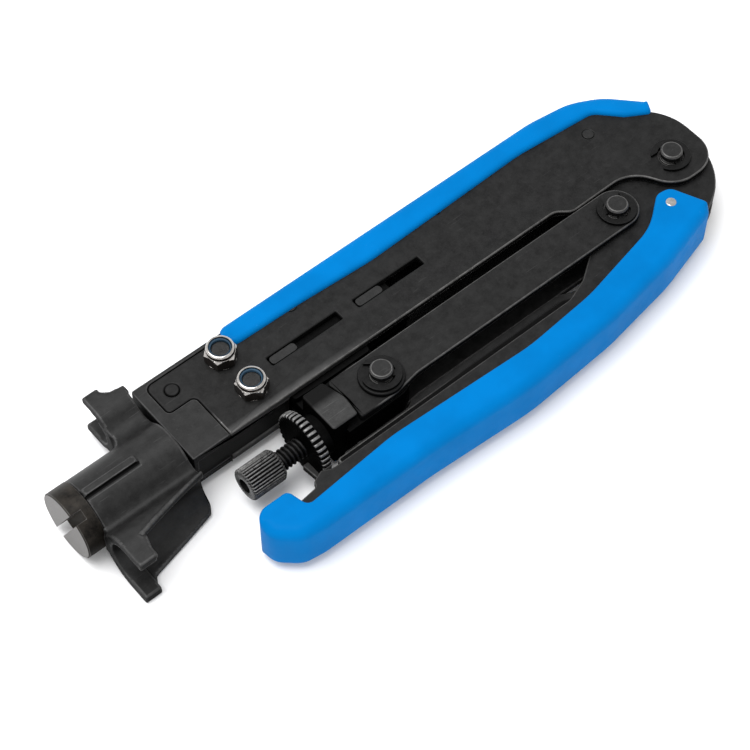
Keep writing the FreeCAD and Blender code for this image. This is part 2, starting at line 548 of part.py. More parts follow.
disc = cyl_x(DISC_X0, DISC_X1, DISC_R, SWIVEL_Y)
disc = disc.makeChamfer(0.3, [e for e in disc.Edges if e.BoundBox.XMax < DISC_X0 + 0.01])
driver_slot = box(DISC_X0 - 1, DISC_X0 + DRIVER_SLOT_D, SWIVEL_Y - DRIVER_SLOT_W / 2.0,
                  SWIVEL_Y + DRIVER_SLOT_W / 2.0, -12, 12)
driver_slot.rotate(V(0, SWIVEL_Y, 0), V(1, 0, 0), DRIVER_SLOT_TILT)
screw = disc.cut(driver_slot).fuse(cyl_x(DISC_X1, SHANK_END, SHANK_R, SWIVEL_Y))
write("head_screw", screw)
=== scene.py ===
import json
import math

import bmesh
import bpy
import numpy as np
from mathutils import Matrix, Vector
from mathutils.geometry import delaunay_2d_cdt

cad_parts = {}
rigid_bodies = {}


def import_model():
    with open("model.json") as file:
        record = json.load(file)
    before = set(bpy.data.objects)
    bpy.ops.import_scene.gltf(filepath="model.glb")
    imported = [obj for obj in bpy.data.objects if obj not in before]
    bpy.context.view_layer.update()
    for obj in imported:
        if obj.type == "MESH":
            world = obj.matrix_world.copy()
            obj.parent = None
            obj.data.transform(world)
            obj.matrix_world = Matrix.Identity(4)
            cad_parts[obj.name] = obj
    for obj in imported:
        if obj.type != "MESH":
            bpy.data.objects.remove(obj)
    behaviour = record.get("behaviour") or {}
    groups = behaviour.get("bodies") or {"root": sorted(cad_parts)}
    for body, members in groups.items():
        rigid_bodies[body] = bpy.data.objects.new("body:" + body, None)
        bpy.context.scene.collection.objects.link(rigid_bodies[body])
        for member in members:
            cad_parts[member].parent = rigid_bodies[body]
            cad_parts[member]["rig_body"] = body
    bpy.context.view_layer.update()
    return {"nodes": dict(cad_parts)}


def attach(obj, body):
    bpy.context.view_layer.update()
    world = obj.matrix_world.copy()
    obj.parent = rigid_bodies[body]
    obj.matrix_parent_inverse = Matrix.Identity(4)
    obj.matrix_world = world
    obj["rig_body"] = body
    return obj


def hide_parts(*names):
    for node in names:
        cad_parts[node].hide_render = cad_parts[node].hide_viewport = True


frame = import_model()

MM = 0.001
MID = 9.6              # height of the tool's mid-plane above the floor, mm
PLATE_OUT = 6.25       # outer face of the frame and link plates, from mid-plane
INNER_OUT = 3.95       # outer face of the handle plates
PLUNGER_Y = -5.0       # y of the plunger's axis, and of the stud, wheel and tip on it
SWIVEL_Y = 14.15       # y of the head screw's axis, which the swivel head turns on


# =================================================================== materials
class Graph:
    """A material's node tree with short calls to add and link nodes."""

    def __init__(self, name):
        self.material = bpy.data.materials.new(name)
        self.material.use_nodes = True
        self.tree = self.material.node_tree
        self.bsdf = self.tree.nodes["Principled BSDF"]
        self.coords = self.node("ShaderNodeTexCoord").outputs["Object"]

    def node(self, kind, **settings):
        made = self.tree.nodes.new(kind)
        for key, value in settings.items():
            setattr(made, key, value)
        return made

    def link(self, source, target):
        self.tree.links.new(source, target)

    def mapped(self, stretch=(1, 1, 1), turn=(0, 0, 0)):
        mapping = self.node("ShaderNodeMapping")
        mapping.inputs["Scale"].default_value = stretch
        mapping.inputs["Rotation"].default_value = [math.radians(a) for a in turn]
        self.link(self.coords, mapping.inputs["Vector"])
        return mapping.outputs["Vector"]

    def noise(self, size_mm, detail=4.0, rough=0.55, vector=None, distortion=0.0):
        made = self.node("ShaderNodeTexNoise")
        made.inputs["Scale"].default_value = 1.0 / (size_mm * MM)
        made.inputs["Detail"].default_value = detail
        made.inputs["Roughness"].default_value = rough
        made.inputs["Distortion"].default_value = distortion
        self.link(vector or self.coords, made.inputs["Vector"])
        return made.outputs["Fac"]

    def spread(self, source, low, high, out_low=0.0, out_high=1.0):
        """Map a value from one range to another, clamped."""
        made = self.node("ShaderNodeMapRange")
        made.inputs["From Min"].default_value = low
        made.inputs["From Max"].default_value = high
        made.inputs["To Min"].default_value = out_low
        made.inputs["To Max"].default_value = out_high
        self.link(source, made.inputs["Value"])
        return made.outputs["Result"]

    def mix(self, factor, a, b, blend="MIX"):
        made = self.node("ShaderNodeMix", data_type="RGBA", blend_type=blend)
        if isinstance(factor, float):
            made.inputs["Factor"].default_value = factor
        else:
            self.link(factor, made.inputs["Factor"])
        for socket, value in ((made.inputs["A"], a), (made.inputs["B"], b)):
            if isinstance(value, tuple):
                socket.default_value = (*value, 1.0)
            else:
                self.link(value, socket)
        return made.outputs["Result"]

    def upward(self, low, high):
        """1 on faces that look up, falling to 0 on walls and undersides."""
        split = self.node("ShaderNodeSeparateXYZ")
        self.link(self.node("ShaderNodeNewGeometry").outputs["Normal"], split.inputs["Vector"])
        return self.spread(split.outputs["Z"], low, high)

    def along(self, axis, low, high, out_low=0.0, out_high=1.0):
        """0 to 1 between two places in mm along one axis of the frame."""
        split = self.node("ShaderNodeSeparateXYZ")
        self.link(self.coords, split.inputs["Vector"])
        return self.spread(split.outputs[axis], low * MM, high * MM, out_low, out_high)

    def calc(self, operation, a, b):
        made = self.node("ShaderNodeMath", operation=operation)
        for socket, value in ((made.inputs[0], a), (made.inputs[1], b)):
            if isinstance(value, (int, float)):
                socket.default_value = value
            else:
                self.link(value, socket)
        return made.outputs["Value"]

    def bump(self, heights, depth_mm):
        made = self.node("ShaderNodeBump")
        made.inputs["Strength"].default_value = 1.0
        made.inputs["Distance"].default_value = depth_mm * MM
        self.link(heights, made.inputs["Height"])
        self.link(made.outputs["Normal"], self.bsdf.inputs["Normal"])

    def set(self, **values):
        for key, value in values.items():
            self.bsdf.inputs[key.replace("_", " ")].default_value = value


def steel(name, dark, light, patch, rough, wear, wear_colour, grain,
          metallic=0.0, specular=0.5, side_shade=0.55, side_gloss=0.08, side_tint=(0.0, 0.0, 0.0),
          dim=None, lift=None, relief=0.05):
    """Finished steel: patchy tone, fine grain, thin scratches and rubbed spots.

    patch and grain are feature sizes in mm; rough is the range of roughness;
    wear is how strongly scratches and rubbed spots show, from 0 to 1.  Faces that
    do not look up get painted shade, by a mix of side_shade to side_tint, and keep
    only side_gloss of the shine.  dim is (axis, low, high, colour): painted shade,
    the tone fades to colour along that axis.  lift is (ramp along Y, ramp along X,
    colour): a painted highlight, the colour shows where both ramps are high."""
    g = Graph(name)
    patches = g.noise(patch, detail=7.0, rough=0.68)
    colour = g.mix(g.spread(patches, 0.36, 0.64), dark, light)
    fine = g.noise(grain, detail=3.0, rough=0.7)
    speckle = g.spread(fine, 0.35, 0.68, 0.0, 1.0)
    colour = g.mix(g.calc("MULTIPLY", speckle, 0.28), colour, tuple(c * 1.7 for c in light))
    long_marks = g.noise(0.35, detail=2.0, vector=g.mapped((0.04, 1, 1), (0, 0, 12.0)))
    scratches = g.spread(long_marks, 0.66, 0.72)
    gates = g.spread(g.noise(9.0, detail=2.0), 0.5, 0.62)
    rubbed = g.spread(g.noise(1.3, detail=5.0, rough=0.7), 0.62, 0.74)
    marks = g.calc("MAXIMUM", g.calc("MULTIPLY", scratches, gates), g.calc("MULTIPLY", rubbed, 0.6))
    colour = g.mix(g.calc("MULTIPLY", marks, wear), colour, wear_colour)
    # painted shade: the tone fades to dim's colour along its axis
    if dim:
        colour = g.mix(g.along(*dim[:3]), colour, dim[3])
    # painted highlight where both lift ramps are high, broken up by the patches
    if lift:
        highlight_mask = g.calc("MULTIPLY", g.along("Y", *lift[0]), g.along("X", *lift[1]))
        broken = g.spread(patches, 0.3, 0.6, 0.75, 1.0)
        colour = g.mix(g.calc("MULTIPLY", highlight_mask, broken), colour, lift[2])
    # painted shade on faces that do not look up
    upward = g.upward(0.15, 0.75)
    colour = g.mix(upward, g.mix(side_shade, colour, side_tint), colour)
    g.link(colour, g.bsdf.inputs["Base Color"])
    gloss = g.spread(upward, 0.0, 1.0, specular * side_gloss, specular)
    if dim:
        gloss = g.calc("MULTIPLY", gloss, g.along(*dim[:3], 1.0, 0.3))
    g.link(gloss, g.bsdf.inputs["Specular IOR Level"])
    tone = g.calc("ADD", g.calc("MULTIPLY", patches, 0.6), g.calc("MULTIPLY", fine, 0.4))
    g.link(g.spread(tone, 0.3, 0.7, *rough), g.bsdf.inputs["Roughness"])
    height = g.calc("ADD", g.calc("MULTIPLY", fine, 0.7), g.calc("MULTIPLY", patches, 0.5))
    g.bump(g.calc("SUBTRACT", height, g.calc("MULTIPLY", scratches, 0.25)), relief)
    g.set(Metallic=metallic)
    return g.material


def plastic(name, deep, pale, rough, specular):
    """Moulded plastic: faint tone changes, handled spots and a fine orange-peel."""
    g = Graph(name)
    flow = g.noise(14.0, detail=3.0)
    colour = g.mix(g.spread(flow, 0.35, 0.65), deep, pale)
    handled = g.spread(g.noise(5.0, detail=6.0, rough=0.65), 0.45, 0.7)
    specks = g.spread(g.noise(0.8, detail=2.0), 0.74, 0.79, 0.0, 0.5)
    colour = g.mix(specks, colour, tuple(min(1.0, c * 1.25 + 0.03) for c in pale))
    peel = g.noise(0.9, detail=2.0)
    g.link(colour, g.bsdf.inputs["Base Color"])
    g.link(g.spread(handled, 0.0, 1.0, *rough), g.bsdf.inputs["Roughness"])
    g.bump(g.calc("ADD", g.calc("MULTIPLY", peel, 0.5), g.calc("MULTIPLY", flow, 1.0)), 0.03)
    g.set(Specular_IOR_Level=specular)
    return g.material


def grey(level, warm=0.0):
    """A neutral colour, or a brownish one with warm above 0."""
    return (level * (1 + warm), level, level * (1 - warm))


# Every steel material below with side_shade above 0 has painted shade on faces that do not look up.
PLATE = steel("black_oxide_plate", grey(0.0028), grey(0.0105), 2.8,
              (0.38, 0.54), 0.42, grey(0.045), 0.4, specular=0.155)
# The frame plates carry a painted highlight along their lower edge toward the front, where both lift ramps
# meet.
FRAME_PLATE = steel("black_oxide_frame", grey(0.0028), grey(0.0105), 2.8,
                    (0.38, 0.54), 0.42, grey(0.045), 0.4, specular=0.155,
                    lift=((8.4, 6.2), (-98.0, -124.0), grey(0.08)))
# The edge materials below, for rolled edges, are worn metal with a painted highlight. Their dim fades that
# highlight into painted shade: on the frame plates past y 14.5, on the links toward the front and on the
# handle web toward the rear.
PLATE_EDGE = steel("black_oxide_edge", grey(0.028, 0.02), grey(0.085, 0.02), 2.5,
                   (0.32, 0.46), 0.8, grey(0.30, 0.03), 0.3, metallic=0.3, specular=0.3, side_shade=0.3,
                   dim=("Y", 11.0, 14.5, grey(0.015)))
LINK_EDGE = steel("link_edge", grey(0.025, 0.02), grey(0.07, 0.02), 2.5,
                  (0.32, 0.46), 0.6, grey(0.15, 0.03), 0.3, metallic=0.3, specular=0.3, side_shade=0.3,
                  dim=("X", -112.0, -116.0, grey(0.008)))
HANDLE_EDGE = steel("handle_edge", grey(0.02, 0.02), grey(0.05, 0.02), 2.5,
                    (0.32, 0.46), 0.5, grey(0.1, 0.03), 0.3, metallic=0.3, specular=0.25, side_shade=0.3)
WEB_EDGE = steel("handle_web_edge", grey(0.05, 0.02), grey(0.09, 0.02), 2.5,
                 (0.32, 0.46), 0.5, grey(0.14, 0.03), 0.3, metallic=0.2, specular=0.25, side_shade=0.3,
                 dim=("X", -112.0, -88.0, grey(0.012)))
INNER = steel("black_oxide_inner", grey(0.0025), grey(0.005), 3.6,
              (0.42, 0.55), 0.25, grey(0.02), 0.4, specular=0.12)
TAB = steel("guide_tab", grey(0.008), grey(0.016), 2.0,
            (0.40, 0.52), 0.30, grey(0.05), 0.4, specular=0.2)
CAST = steel("cast_black", grey(0.0035), grey(0.0130), 3.0,
             (0.38, 0.54), 0.42, grey(0.055), 0.35, specular=0.22, side_shade=0.6, side_gloss=0.12)
# Painted highlight on the rolled edges of the head and block, with wear marks.
CAST_EDGE = steel("cast_black_edge", grey(0.014), grey(0.038), 2.0,
                  (0.34, 0.48), 0.5, grey(0.1), 0.3, metallic=0.2, specular=0.3)
# The plunger's top gets painted shade toward +y, as on a rounded facet; its dim does this.
BLOCK = steel("plunger_black", grey(0.012), grey(0.024), 2.2,
              (0.34, 0.46), 0.5, grey(0.07), 0.35, specular=0.26, side_shade=0.8,
              dim=("Y", -3.4, -1.2, grey(0.003)))
# Painted highlight on the wheel's tooth crests, with wear marks.
CREST_WEAR_AND_HIGHLIGHT = steel("crest_wear_and_painted_highlight", grey(0.05, 0.01), grey(0.20, 0.01), 0.9,
              (0.24, 0.36), 0.7, grey(0.35), 0.2, metallic=0.5, side_shade=0.7, side_gloss=0.3)
TURNED = steel("blackened_turned", grey(0.022, 0.01), grey(0.10, 0.01), 1.1,
               (0.22, 0.34), 0.6, grey(0.25), 0.2, metallic=0.5, specular=0.5, side_shade=0.9,
               side_gloss=0.1)
# Painted shade: near black, for recesses, undersides and faces hidden between parts.
PAINTED_SHADE = steel("painted_shade", grey(0.0012), grey(0.003), 1.2,
               (0.5, 0.65), 0.2, grey(0.008), 0.25, specular=0.04)
WORN = steel("worn_disc_face", grey(0.036, 0.07), grey(0.075, 0.06), 1.9,
             (0.30, 0.44), 0.6, grey(0.22, 0.03), 0.22, metallic=0.5, side_shade=0.0, side_gloss=0.4)
DISC_SIDE = steel("disc_side", grey(0.0008), grey(0.020, 0.16), 3.2,
                  (0.36, 0.55), 0.5, grey(0.06, 0.08), 0.25, metallic=0.2, specular=0.1)
SLOT = steel("driver_slot", (0.012, 0.009, 0.006), (0.045, 0.034, 0.022), 1.4,
             (0.4, 0.55), 0.4, (0.07, 0.055, 0.035), 0.25, metallic=0.1, specular=0.12)
PINS = steel("dark_pin", grey(0.006), grey(0.014), 1.3,
             (0.34, 0.46), 0.6, grey(0.05), 0.25, metallic=0.1, specular=0.24)
CLIP = steel("dark_clip", grey(0.0025), grey(0.006), 1.3,
             (0.34, 0.46), 0.5, grey(0.03), 0.25, specular=0.12)
BOLT = steel("dark_bolt_end", grey(0.004), grey(0.012), 1.3,
             (0.25, 0.35), 0.5, grey(0.03), 0.25, metallic=0.3, specular=0.5)
# The nut's sides get painted shade, mixed toward a brownish dark.
NICKEL = steel("bright_nickel", grey(0.30, 0.06), grey(0.50, 0.03), 2.4,
               (0.12, 0.22), 0.12, grey(0.7), 0.9, metallic=1.0, side_shade=0.8,
               side_tint=(0.07, 0.05, 0.035), relief=0.012)
NYLON = plastic("teal_nylon", (0.010, 0.030, 0.055), (0.035, 0.075, 0.12), (0.3, 0.4), 0.3)
BLUE = plastic("blue_moulded", (0.0, 0.128, 0.375), (0.0, 0.146, 0.425), (0.40, 0.52), 0.018)


# ====================================================================== meshes
def place(name, mesh, node, materials):
    """A piece that stands in for a node, on the node's body."""
    piece = bpy.data.objects.new(name, mesh)
    bpy.context.scene.collection.objects.link(piece)
    for m in materials:
        mesh.materials.append(m)
    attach(piece, frame["nodes"][node]["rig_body"])
    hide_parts(node)
    return piece


def finish_mesh(bm, name, sharp):
    """Mesh of a bmesh, smooth except along edges sharper than an angle in degrees."""
    mesh = bpy.data.meshes.new(name)
    bmesh.ops.recalc_face_normals(bm, faces=bm.faces)
    bm.to_mesh(mesh)
    bm.free()
    mesh.shade_smooth()
    mesh.set_sharp_from_angle(angle=math.radians(sharp))
    return mesh


def node_bmesh(node):
    """The node's shape with split corners welded and flat facets merged."""
    bm = bmesh.new()
    bm.from_mesh(frame["nodes"][node].data)
    bmesh.ops.remove_doubles(bm, verts=bm.verts, dist=1e-6)
    bmesh.ops.dissolve_limit(bm, angle_limit=math.radians(0.5), verts=bm.verts, edges=bm.edges)
    return bm


def refine(node, materials, width, segments=3, edge_material=-1):
    """The node's own shape with its edges rolled over to a width in mm.

    edge_material is the number of the material on the rolled edges; -1 keeps the
    material of the faces beside them."""
    mesh = finish_mesh(node_bmesh(node), node + "_shape", 180.0)
    piece = place(node + "_finished", mesh, node, materials)
    roll = piece.modifiers.new("rolled_edges", "BEVEL")
    roll.width = width * MM
    roll.segments = segments
    roll.limit_method = "ANGLE"
    roll.angle_limit = math.radians(34.0)
    roll.use_clamp_overlap = False
    roll.miter_outer = "MITER_ARC"
    roll.material = edge_material
    even = piece.modifiers.new("even_shading", "WEIGHTED_NORMAL")
    even.keep_sharp = True
    even.weight = 80
    return piece


def repaint(piece, index, chosen):
    """Give the faces that chosen(x, y, z) picks by their middle, in mm about the
    mid-plane, another of the piece's materials."""
    for polygon in piece.data.polygons:
        x, y, z = (c / MM for c in polygon.center)
        if chosen(x, y, z - MID):
            polygon.material_index = index


def rounded(corners, step):
    """Points along a closed outline given as (x, y, corner radius), mm."""
    pts = [np.array(c[:2], float) for c in corners]
    out = []
    count = len(pts)
    for i in range(count):
        p, a, b, r = pts[i], pts[i - 1], pts[(i + 1) % count], corners[i][2]
        if r == 0:
            out.append(p)
            continue
        u = (a - p) / np.linalg.norm(a - p)
        w = (b - p) / np.linalg.norm(b - p)
        half = math.acos(np.clip(u @ w, -1, 1)) / 2.0
        t = r / math.tan(half)
        centre = p + (u + w) / np.linalg.norm(u + w) * (r / math.sin(half))
        start, end = p + u * t - centre, p + w * t - centre
        turn = math.pi - 2 * half
        cross = start[0] * end[1] - start[1] * end[0]
        pieces = max(2, int(math.ceil(r * turn / step)) + 1)
        for k in range(pieces + 1):
            ang = turn * k / pieces * (1 if cross > 0 else -1)
            c, s = math.cos(ang), math.sin(ang)
            out.append(centre + np.array([start[0] * c - start[1] * s, start[0] * s + start[1] * c]))
    dense = []
    for i, p in enumerate(out):
        q = out[(i + 1) % len(out)]
        run = np.linalg.norm(q - p)
        pieces = max(1, int(math.ceil(run / step)))
        for k in range(pieces):
            dense.append(p + (q - p) * k / pieces)
    keep = [dense[0]]
    for p in dense[1:]:
        if np.linalg.norm(p - keep[-1]) > step * 0.2:
            keep.append(p)
    return np.array(keep)


def outline_distance(points, outline):
    """Distance from each point to the closed outline, and the inward normal there."""
    a = outline
    b = np.roll(outline, -1, axis=0)
    run = b - a
    inward = np.stack([-run[:, 1], run[:, 0]], 1) / np.linalg.norm(run, axis=1)[:, None]
    corner = inward + np.roll(inward, 1, axis=0)
    corner /= np.linalg.norm(corner, axis=1)[:, None]
    length2 = (run ** 2).sum(1)
    rel = points[:, None, :] - a[None]
    t = np.clip((rel * run[None]).sum(2) / length2[None], 0, 1)
    near = a[None] + t[..., None] * run[None]
    dist = np.linalg.norm(points[:, None, :] - near, axis=2)
    best = dist.argmin(1)
    rows = np.arange(len(points))
    share = t[rows, best][:, None]
    normal = corner[best] * (1 - share) + np.roll(corner, -1, axis=0)[best] * share
    return dist[rows, best], normal


def inside(points, outline):
    """Which points lie inside the closed outline."""
    x, y = points[:, 0][:, None], points[:, 1][:, None]
    ax, ay = outline[:, 0][None], outline[:, 1][None]
    bx, by = np.roll(outline[:, 0], -1)[None], np.roll(outline[:, 1], -1)[None]
    crosses = ((ay > y) != (by > y)) & (x < (bx - ax) * (y - ay) / (by - ay + 1e-12) + ax)
    return crosses.sum(1) % 2 == 1


def pillow(name, corners, height_of):
    """Closed moulding over an outline, the same above and below the mid-plane.

    height_of(distance, normal) gives the height above the mid-plane from the
    distance to the outline and the inward normal at the nearest place on it."""
    step = 0.7     # spacing of points along the outline
    grid = 1.5     # spacing of points in its middle
    rings = (0.06, 0.2, 0.42, 0.7, 1.05, 1.45, 1.9, 2.4, 2.9, 3.6)
    outline = rounded(corners, step)
    following = np.roll(outline, -1, axis=0)
    area = np.sum(outline[:, 0] * following[:, 1] - following[:, 0] * outline[:, 1])
    if area < 0:
        outline = outline[::-1].copy()
    tangent = np.roll(outline, -1, axis=0) - np.roll(outline, 1, axis=0)
    tangent /= np.linalg.norm(tangent, axis=1)[:, None]
    inward = np.stack([-tangent[:, 1], tangent[:, 0]], 1)
    layers = [outline]
    for d in rings:
        ring = outline + inward * d
        dist, _ = outline_distance(ring, outline)
        ring = ring[(dist > d * 0.985) & inside(ring, outline)]
        thin = [ring[0]]
        for p in ring[1:]:
            if np.linalg.norm(p - thin[-1]) > step * 0.45:
                thin.append(p)
        layers.append(np.array(thin))
    lo, hi = outline.min(0), outline.max(0)
    gx, gy = np.meshgrid(np.arange(lo[0], hi[0], grid), np.arange(lo[1], hi[1], grid))
    cells = np.stack([gx.ravel(), gy.ravel()], 1)
    cells = cells[inside(cells, outline)]
    dist, _ = outline_distance(cells, outline)
    layers.append(cells[dist > rings[-1] + grid * 0.6])
    points = np.concatenate(layers)
    n = len(outline)
    coords, _, tris, *_ = delaunay_2d_cdt([Vector(p) for p in points], [], [list(range(n))], 1, 1e-5)
    flat = np.array([tuple(c) for c in coords])
    dist, normal = outline_distance(flat, outline)
    height = height_of(dist, normal)
    bm = bmesh.new()
    top = [bm.verts.new((x * MM, y * MM, (MID + z) * MM)) for (x, y), z in zip(flat, height)]
    low = [bm.verts.new((x * MM, y * MM, (MID - z) * MM)) for (x, y), z in zip(flat, height)]
    for t in tris:
        bm.faces.new([top[i] for i in t])
        bm.faces.new([low[i] for i in reversed(t)])
    for i in range(n):
        j = (i + 1) % n
        bm.faces.new((top[i], low[i], low[j], top[j]))
    return finish_mesh(bm, name, 40.0)


def quarter_round(distance, radius):
    """Drop from the top, at a distance in from an edge rolled over to a radius."""
    d = np.clip(distance, 0.0, radius)
    return radius - np.sqrt(np.maximum(radius ** 2 - (radius - d) ** 2, 0))


def lathe(profile, count, shape, closed):
    """Shape turned about the plunger's axis, from a profile of (x, radius) in mm.

    shape(angle, x, radius) gives the radius round the turn.  A closed profile makes
    a ring; an open one is capped at its two ends."""
    bm = bmesh.new()
    rows = []
    for x, radius in profile:
        row = []
        for k in range(count):
            angle = 2 * math.pi * k / count
            r = shape(angle, x, radius)
            co = (x, PLUNGER_Y + r * math.cos(angle), MID + r * math.sin(angle))
            row.append(bm.verts.new([c * MM for c in co]))
        rows.append(row)
    pairs = list(zip(rows, rows[1:]))
    if closed:
        pairs.append((rows[-1], rows[0]))
    for a, b in pairs:
        for k in range(count):
            j = (k + 1) % count
            bm.faces.new((a[k], a[j], b[j], b[k]))
    if not closed:
        bm.faces.new(rows[0])
        bm.faces.new(list(reversed(rows[-1])))
    return bm


def paint(bm, chooser):
    """Give every face a material number from its middle, in mm about the mid-plane."""
    for f in bm.faces:
        c = f.calc_center_median() / MM
        f.material_index = chooser(c.x, c.y, c.z - MID)


def fold(t):
    """Triangle wave: 0 at whole numbers, 1 half way between."""
    return 1.0 - abs(2.0 * (t % 1.0) - 1.0)


def polygon_field(points, corners):
    """Signed distance to a polygon of (x, y) corners, negative inside."""
    outline = np.array(corners, float)
    dist, _ = outline_distance(points, outline)
    return np.where(inside(points, outline), -dist, dist)


def blend(a, b, k):
    """Union of two distance fields with a soft valley of size k."""
    h = np.clip(0.5 + 0.5 * (b - a) / k, 0, 1)
    return b + (a - b) * h - k * h * (1 - h)


def carve(a, b, k):
    """Field a with b taken away, the new edge rounded by k."""
    return -blend(-a, b, k)


def surface(name, field, low, step):
    """Mesh of a distance field's zero level on a regular grid (surface nets)."""
    shape = np.array(field.shape) - 1
    total = np.zeros((*shape, 3))
    count = np.zeros(shape)
    corner = [slice(0, -1), slice(1, None)]
    for axis in range(3):
        others = [k for k in range(3) if k != axis]
        for u in (0, 1):
            for v in (0, 1):
                pick0, pick1 = [None] * 3, [None] * 3
                pick0[axis], pick1[axis] = corner[0], corner[1]
                for o, w in zip(others, (u, v)):
                    pick0[o] = pick1[o] = corner[w]
                f0, f1 = field[tuple(pick0)], field[tuple(pick1)]
                cross = (f0 < 0) != (f1 < 0)
                t = np.where(cross, f0 / np.where(cross, f0 - f1, 1.0), 0.0)
                total[..., axis] += t * cross
                total[..., others[0]] += u * cross
                total[..., others[1]] += v * cross
                count += cross
    active = count > 0
    number = np.full(shape, -1)
    number[active] = np.arange(active.sum())
    cells = np.argwhere(active)
    verts = (cells + total[active] / count[active][:, None]) * step + np.array(low)
    faces = []
    for axis in range(3):
        b, c = [k for k in range(3) if k != axis]
        lead = [slice(None)] * 3
        lead[axis] = slice(0, -1)
        tail = [slice(None)] * 3
        tail[axis] = slice(1, None)
        f0, f1 = field[tuple(lead)] < 0, field[tuple(tail)] < 0
        spots = np.argwhere(f0 != f1)
        spots = spots[(spots[:, b] > 0) & (spots[:, c] > 0)
                      & (spots[:, b] < shape[b]) & (spots[:, c] < shape[c])]
        flips = f0[tuple(spots.T)] != (axis == 1)
        ring = []
        for db, dc in ((0, 0), (-1, 0), (-1, -1), (0, -1)):
            at = spots.copy()
            at[:, b] += db
            at[:, c] += dc
            ring.append(number[tuple(at.T)])
        quads = np.stack(ring, 1)
        quads[~flips] = quads[~flips][:, ::-1]
        faces.append(quads)
    faces = np.concatenate(faces)
    mesh = bpy.data.meshes.new(name)
    co = verts * MM + np.array([0, 0, MID * MM])
    mesh.from_pydata([tuple(v) for v in co], [], [tuple(int(i) for i in q) for q in faces])
    mesh.validate()
    bm = bmesh.new()
    bm.from_mesh(mesh)
    bmesh.ops.recalc_face_normals(bm, faces=bm.faces)
    bm.to_mesh(mesh)
    bm.free()
    mesh.shade_smooth()
    return mesh


# ====================================================================== plates
for side in ("top", "bottom"):
    refine("frame_" + side + "_plate", [FRAME_PLATE, PLATE_EDGE], 0.42, edge_material=1)
    refine("link_" + side, [PLATE, LINK_EDGE], 0.4, edge_material=1)
    # The slider plates between the frame plates get painted shade; their tabs outside take the tab steel.
    slider = refine("slider_" + side + "_plate", [PAINTED_SHADE, TAB], 0.15)
    repaint(slider, 1, lambda x, y, z: abs(z) > INNER_OUT + 0.1)
refine("handle_top_plate", [PLATE, HANDLE_EDGE], 0.38, edge_material=1)
refine("handle_bottom_plate", [TAB, HANDLE_EDGE], 0.3, edge_material=1)
refine("frame_spine", [INNER], 0.2, 2)
# The handle web is painted shade, with a painted highlight on its rolled edges.
refine("handle_web", [PAINTED_SHADE, WEB_EDGE], 0.55, edge_material=1)

# ============================================================= pins and rivets
for rivet in ("spine_rivets", "slider_rivets", "handle_rivets"):
    refine(rivet, [PINS], 0.12, 2)
# The dowel's rolled edges get painted shade.
refine("locating_dowel", [PLATE, PAINTED_SHADE], 0.35, 2, edge_material=1)
# The pins' rolled edges take the plate edge's painted highlight.
for joint in ("main_pivot", "link_rear", "link_front"):
    refine(joint + "_pin", [PINS, PLATE_EDGE], 0.2, 2, edge_material=1)
    refine(joint + "_clip", [CLIP], 0.15)

# =================================================================== fasteners
refine("clamp_bolts", [BOLT], 0.3)
refine("nyloc_nuts", [NICKEL], 0.15)
refine("nyloc_rings", [NYLON], 0.3)
refine("grip_rivet", [NICKEL], 0.3)

# =========================================================== block and plunger
FACET_LOW = 7.0        # plunger faces lower than this above the mid-plane get painted shade
refine("head_block", [CAST, CAST_EDGE], 0.35, edge_material=1)
plunger = refine("plunger_body", [BLOCK, PAINTED_SHADE], 0.16)
repaint(plunger, 1, lambda x, y, z: z < FACET_LOW)

# ================================================================= swivel head
HUB_R = 9.5
HEAD_X0, HEAD_X1 = -188.4, -160.5   # front and rear faces of the hub
BEYOND = -150.0                     # past the head's rear face, for cuts right through it
BORE_R = 4.1                        # hole for the head screw's neck
DISC_ROOM_R = 10.0                  # room for the head screw's disc in front of the hub
REAR_GAP_X = -160.95                # the upper part of the rear face is set back to here
BIG_Y, BIG_R = -5.0, 9.4            # axis and outside of the large cradle
SMALL_Y, SMALL_R = 33.3, 7.3        # the same of the small cradle
SMALL_X0 = -171.2                   # the small cradle's front end
WING_HALF = 4.4                     # half the thickness of the wings that carry the cradles
RIB_X0, RIB_X1 = -188.0, -172.2     # the cast rib on the hub's crown, and the groove beside it
RIB_Y0, RIB_Y1 = 12.7, 15.0
GROOVE_WIDTH = 0.8
STEP = 0.36                         # spacing of the grid the head's surface is drawn on
gx = np.arange(-191.0, -158.9, STEP)
gy = np.arange(-13.2, 40.4, STEP)
gz = np.arange(-11.0, 11.0, STEP)
X, Y, Z = np.meshgrid(gx, gy, gz, indexing="ij")


def light_edges(piece, sharper_than, index):
    """Give the faces along outward edges of a cast skin the edge material, worn metal with a painted
    highlight.
    """
    mesh = piece.data
    count = len(mesh.vertices)
    co = np.empty(count * 3)
    mesh.vertices.foreach_get("co", co)
    co = co.reshape(-1, 3) / MM
    normal = np.empty(count * 3)
    mesh.vertex_normals.foreach_get("vector", normal)
    normal = normal.reshape(-1, 3)
    ends = np.empty(len(mesh.edges) * 2, dtype=np.int32)
    mesh.edges.foreach_get("vertices", ends)
    ends = ends.reshape(-1, 2)
    along = co[ends[:, 1]] - co[ends[:, 0]]
    bend = ((normal[ends[:, 1]] - normal[ends[:, 0]]) * along).sum(1) / (along * along).sum(1)
    total = np.zeros(count)
    share = np.zeros(count)
    for side in (0, 1):
        np.add.at(total, ends[:, side], bend)
        np.add.at(share, ends[:, side], 1)
    curve = total / np.maximum(share, 1)
    for polygon in mesh.polygons:
        if curve[list(polygon.vertices)].mean() > sharper_than:
            polygon.material_index = index


def rod(radius, y, x0, x1):
    """Field of a cylinder along x."""
    return np.maximum(np.hypot(Y - y, Z) - radius, np.maximum(x0 - X, X - x1))


